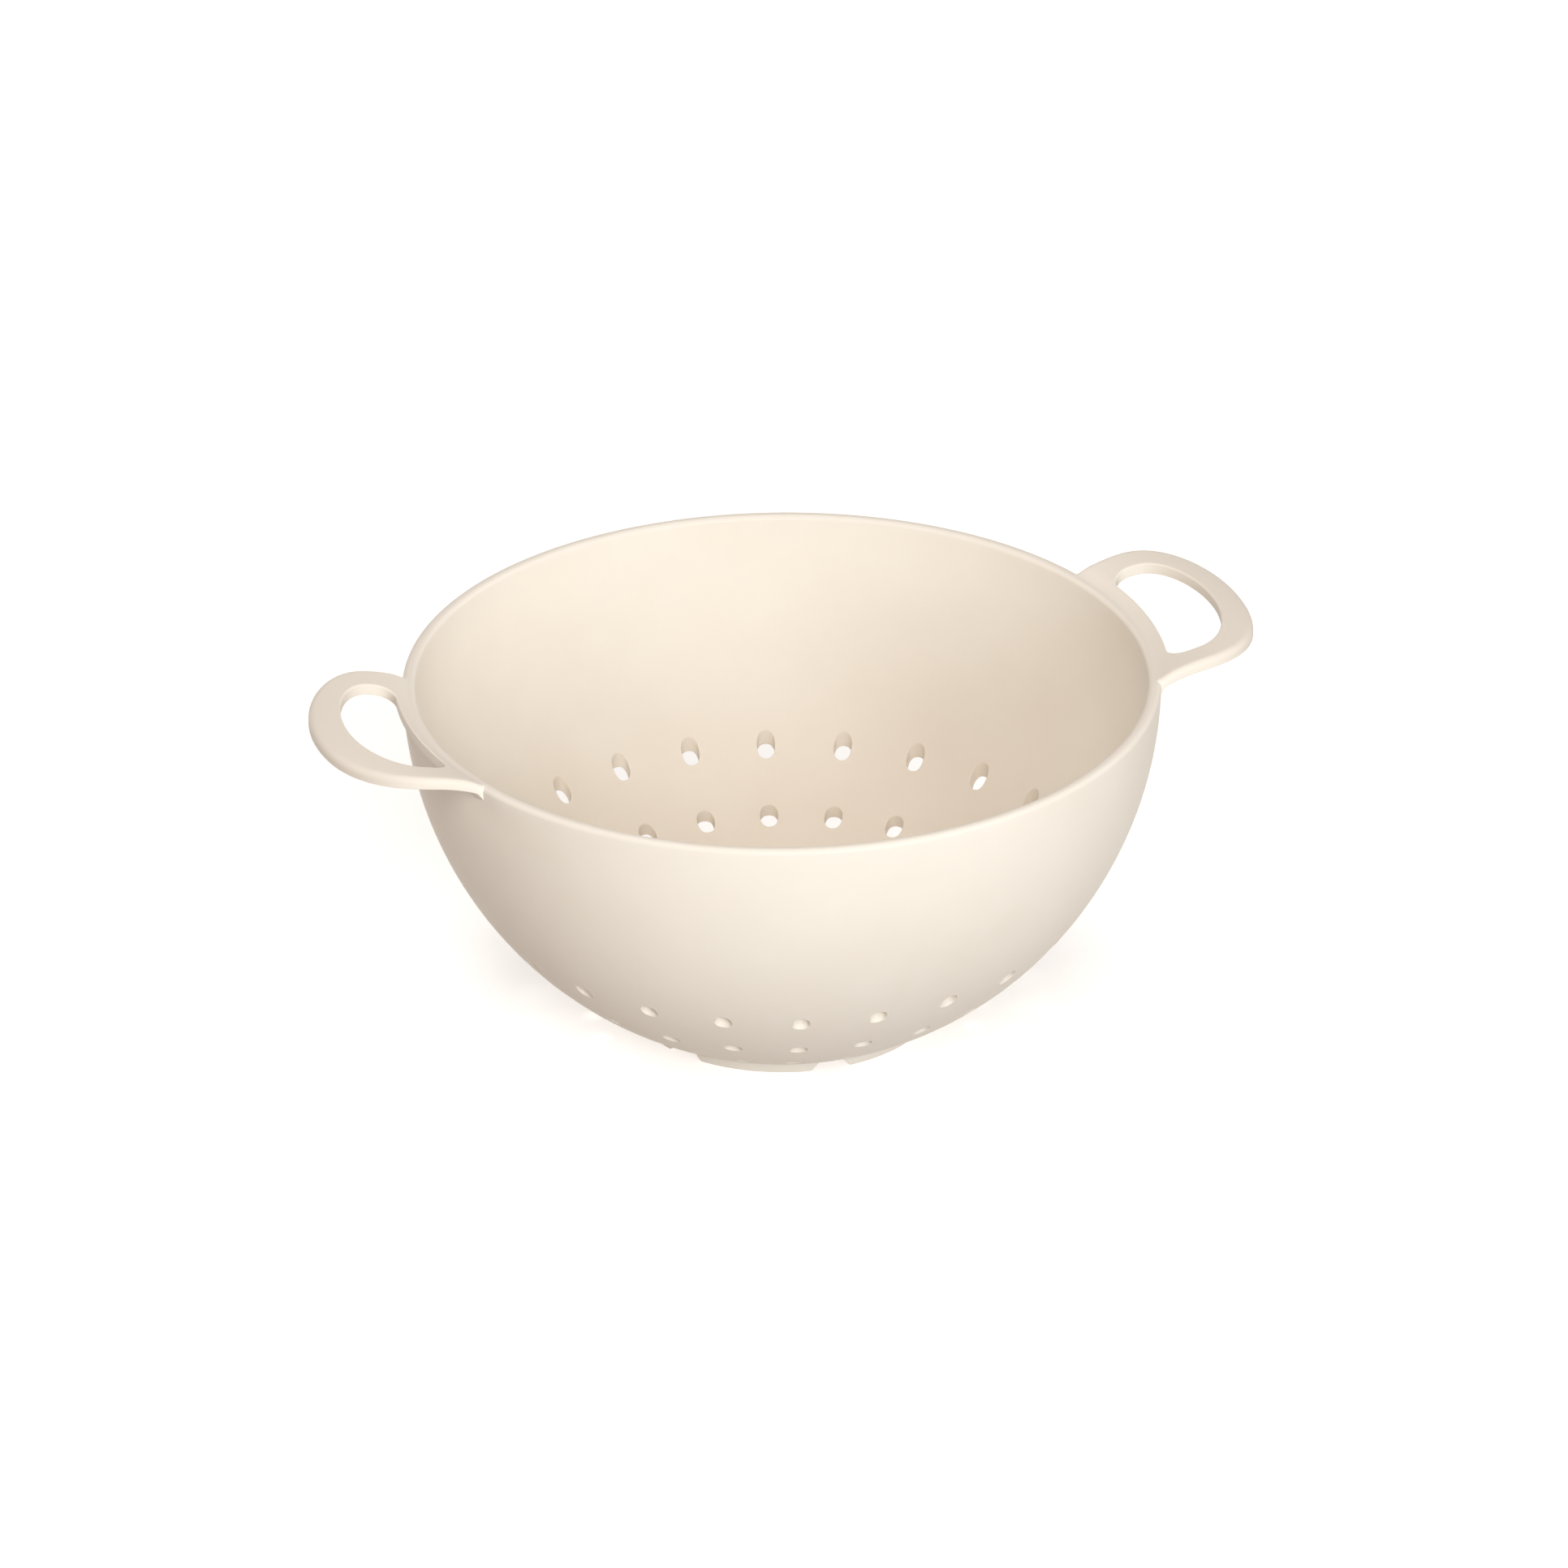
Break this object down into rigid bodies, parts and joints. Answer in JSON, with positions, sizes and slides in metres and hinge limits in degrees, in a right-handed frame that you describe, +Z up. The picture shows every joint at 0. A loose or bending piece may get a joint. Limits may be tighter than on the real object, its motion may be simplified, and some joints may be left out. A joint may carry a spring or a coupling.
{
  "type": "colander",
  "caption": "Round-bottomed kitchen colander in matt cream moulding, with rings of drain holes, arched loop handles at the rim and a broken foot ring.",
  "frame": {"origin": "under the middle of the bowl, on the surface that the foot ring stands on", "axes": "+Z up along the bowl's axis, X through the two handles"},
  "size_m": [0.282, 0.22, 0.111],
  "materials": {
    "cream_moulding": "smooth matt moulding, no print"
  },
  "bodies": {
    "root": {"bowl": "cream_moulding", "handle_right": "cream_moulding", "handle_left": "cream_moulding", "foot_arc_1": "cream_moulding", "foot_arc_2": "cream_moulding", "foot_arc_3": "cream_moulding", "foot_arc_4": "cream_moulding", "foot_arc_5": "cream_moulding", "foot_arc_6": "cream_moulding"}
  },
  "joints": []
}
